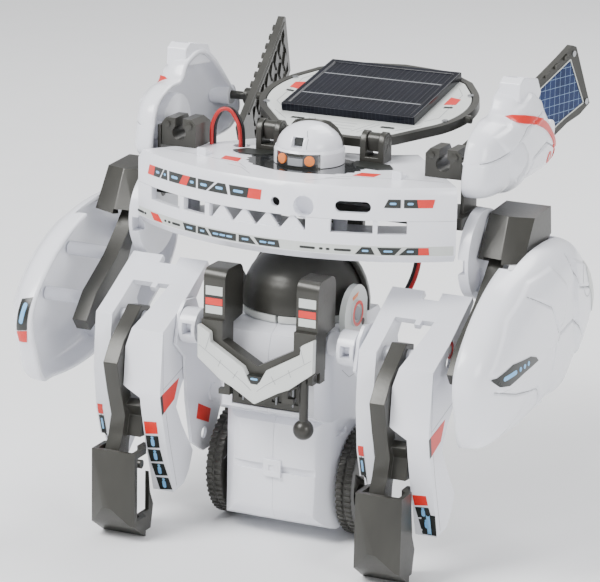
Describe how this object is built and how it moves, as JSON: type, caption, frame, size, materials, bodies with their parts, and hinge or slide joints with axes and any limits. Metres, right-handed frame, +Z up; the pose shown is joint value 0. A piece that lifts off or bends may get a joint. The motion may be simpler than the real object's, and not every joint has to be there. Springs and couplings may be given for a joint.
{
  "type": "solar robot kit",
  "caption": "Toy walking robot with geared wheels, hinged legs and arms, curved hull, tilting solar panel and two solar wings.",
  "frame": {"origin": "middle of the footprint at ground level, under the whole figure", "axes": "+Z up, the figure faces -Y, +X to the figure's left side"},
  "size_m": [0.176, 0.1653, 0.1546],
  "materials": {
    "white_plastic": "moulded white ABS",
    "dark_plastic": "satin gunmetal grey plastic",
    "steel": "plain steel",
    "gear_nylon": "natural nylon",
    "pale_grey": "pale grey plastic and stickers",
    "orange": "orange printed dots",
    "panel_cell": "dark solar cell under clear resin",
    "wing_cell": "blue grid film",
    "red_lead": "red PVC lead",
    "black_lead": "black PVC lead"
  },
  "bodies": {
    "chassis": {"gear_case_left": "white_plastic", "gear_case_right": "white_plastic", "seam_clip": "white_plastic", "gear_plate": "white_plastic", "motor_can": "steel", "motor_end_cap": "gear_nylon", "torso_left": "white_plastic", "torso_right": "white_plastic", "belly_plate": "dark_plastic", "spine": "dark_plastic", "helmet_dome": "dark_plastic", "helmet_band": "pale_grey", "helmet_back": "dark_plastic", "ear_covers": "pale_grey", "shoulder_yoke": "dark_plastic", "chest_plate": "pale_grey", "hip_clamps": "white_plastic", "hull_frame": "dark_plastic", "hull_lower": "white_plastic", "hull_upper": "white_plastic", "shoulder_brackets": "white_plastic", "panel_brackets": "dark_plastic", "deck_clips": "dark_plastic", "red_leads": "red_lead", "black_leads": "black_lead"},
    "wheelset": {"wheel_axle": "steel", "axle_gear": "gear_nylon", "wheel_left": "dark_plastic", "wheel_right": "dark_plastic"},
    "counter": {"counter_gear": "gear_nylon", "counter_shaft": "steel"},
    "rotor": {"motor_shaft": "steel", "motor_pinion": "gear_nylon"},
    "leg_left": {"leg_shell_left": "white_plastic", "leg_link_left": "dark_plastic", "hip_shaft_left": "white_plastic"},
    "leg_right": {"leg_shell_right": "white_plastic", "leg_link_right": "dark_plastic", "hip_shaft_right": "white_plastic"},
    "foot_left": {"foot_left": "dark_plastic"},
    "foot_right": {"foot_right": "dark_plastic"},
    "upper_arm_left": {"arm_box_left": "dark_plastic"},
    "upper_arm_right": {"arm_box_right": "dark_plastic"},
    "forearm_left": {"arm_link_left": "dark_plastic", "arm_shell_left": "white_plastic"},
    "forearm_right": {"arm_link_right": "dark_plastic", "arm_shell_right": "white_plastic"},
    "head": {"head_base": "dark_plastic", "head_shell": "white_plastic", "head_eyes": "orange"},
    "panel": {"panel_frame": "dark_plastic", "panel_plate": "pale_grey", "solar_cell": "panel_cell"},
    "pod_left": {"pod_left": "white_plastic"},
    "pod_right": {"pod_right": "white_plastic"},
    "wing_left": {"wing_left": "dark_plastic", "wing_cell_left": "wing_cell"},
    "wing_right": {"wing_right": "dark_plastic", "wing_cell_right": "wing_cell"},
    "ball_lever": {"ball_lever": "dark_plastic"}
  },
  "joints": [
    {"name": "axle_turn", "type": "hinge", "parent": "chassis", "child": "wheelset", "pos_m": [0, -0.0297, 0.019], "axis": [1, 0, 0], "continuous": true},
    {"name": "counter_turn", "type": "hinge", "parent": "chassis", "child": "counter", "pos_m": [0, -0.0387, 0.02715], "axis": [1, 0, 0], "continuous": true},
    {"name": "motor_turn", "type": "hinge", "parent": "chassis", "child": "rotor", "pos_m": [0, -0.0297, 0.0345], "axis": [1, 0, 0], "continuous": true},
    {"name": "hip_left", "type": "hinge", "parent": "chassis", "child": "leg_left", "pos_m": [0.031, -0.0547, 0.0715], "axis": [1, 0, 0], "range_deg": [-18, 10]},
    {"name": "ankle_left", "type": "hinge", "parent": "leg_left", "child": "foot_left", "pos_m": [0.048, -0.0692, 0.0255], "axis": [1, 0, 0], "range_deg": [-8, 8]},
    {"name": "shoulder_left", "type": "hinge", "parent": "chassis", "child": "upper_arm_left", "pos_m": [0.06, -0.0197, 0.107], "axis": [1, 0, 0], "range_deg": [-30, 6]},
    {"name": "elbow_left", "type": "hinge", "parent": "upper_arm_left", "child": "forearm_left", "pos_m": [0.067, -0.0237, 0.102], "axis": [1, 0, 0], "range_deg": [-12, 6]},
    {"name": "pod_left", "type": "hinge", "parent": "chassis", "child": "pod_left", "pos_m": [0.055, -0.0207, 0.1275], "axis": [1, 0, 0], "range_deg": [-8, 12]},
    {"name": "wing_left", "type": "hinge", "parent": "pod_left", "child": "wing_left", "pos_m": [0.056, 0.0303, 0.131], "axis": [1, 0, 0], "range_deg": [-10, 20]},
    {"name": "hip_right", "type": "hinge", "parent": "chassis", "child": "leg_right", "pos_m": [-0.031, -0.0547, 0.0715], "axis": [1, 0, 0], "range_deg": [-18, 10]},
    {"name": "ankle_right", "type": "hinge", "parent": "leg_right", "child": "foot_right", "pos_m": [-0.047, -0.0692, 0.0255], "axis": [1, 0, 0], "range_deg": [-8, 8]},
    {"name": "shoulder_right", "type": "hinge", "parent": "chassis", "child": "upper_arm_right", "pos_m": [-0.06, -0.0197, 0.107], "axis": [1, 0, 0], "range_deg": [-30, 6]},
    {"name": "elbow_right", "type": "hinge", "parent": "upper_arm_right", "child": "forearm_right", "pos_m": [-0.067, -0.0237, 0.102], "axis": [1, 0, 0], "range_deg": [-12, 6]},
    {"name": "pod_right", "type": "hinge", "parent": "chassis", "child": "pod_right", "pos_m": [-0.055, -0.0207, 0.1275], "axis": [1, 0, 0], "range_deg": [-8, 12]},
    {"name": "wing_right", "type": "hinge", "parent": "pod_right", "child": "wing_right", "pos_m": [-0.056, 0.0303, 0.131], "axis": [1, 0, 0], "range_deg": [-10, 20]},
    {"name": "panel_tilt", "type": "hinge", "parent": "chassis", "child": "panel", "pos_m": [0, -0.0165, 0.132], "axis": [1, 0, 0], "range_deg": [-6, 30]},
    {"name": "head_turn", "type": "hinge", "parent": "chassis", "child": "head", "pos_m": [0, -0.0277, 0.124], "axis": [0, 0, 1], "range_deg": [-35, 35]},
    {"name": "lever_swing", "type": "hinge", "parent": "chassis", "child": "ball_lever", "pos_m": [0.016, -0.0641, 0.0625], "axis": [1, 0, 0], "range_deg": [-30, 8]}
  ],
  "couplings": [
    {"joint": "counter_turn", "follows": "axle_turn", "ratio": -3},
    {"joint": "motor_turn", "follows": "axle_turn", "ratio": 10.8}
  ]
}
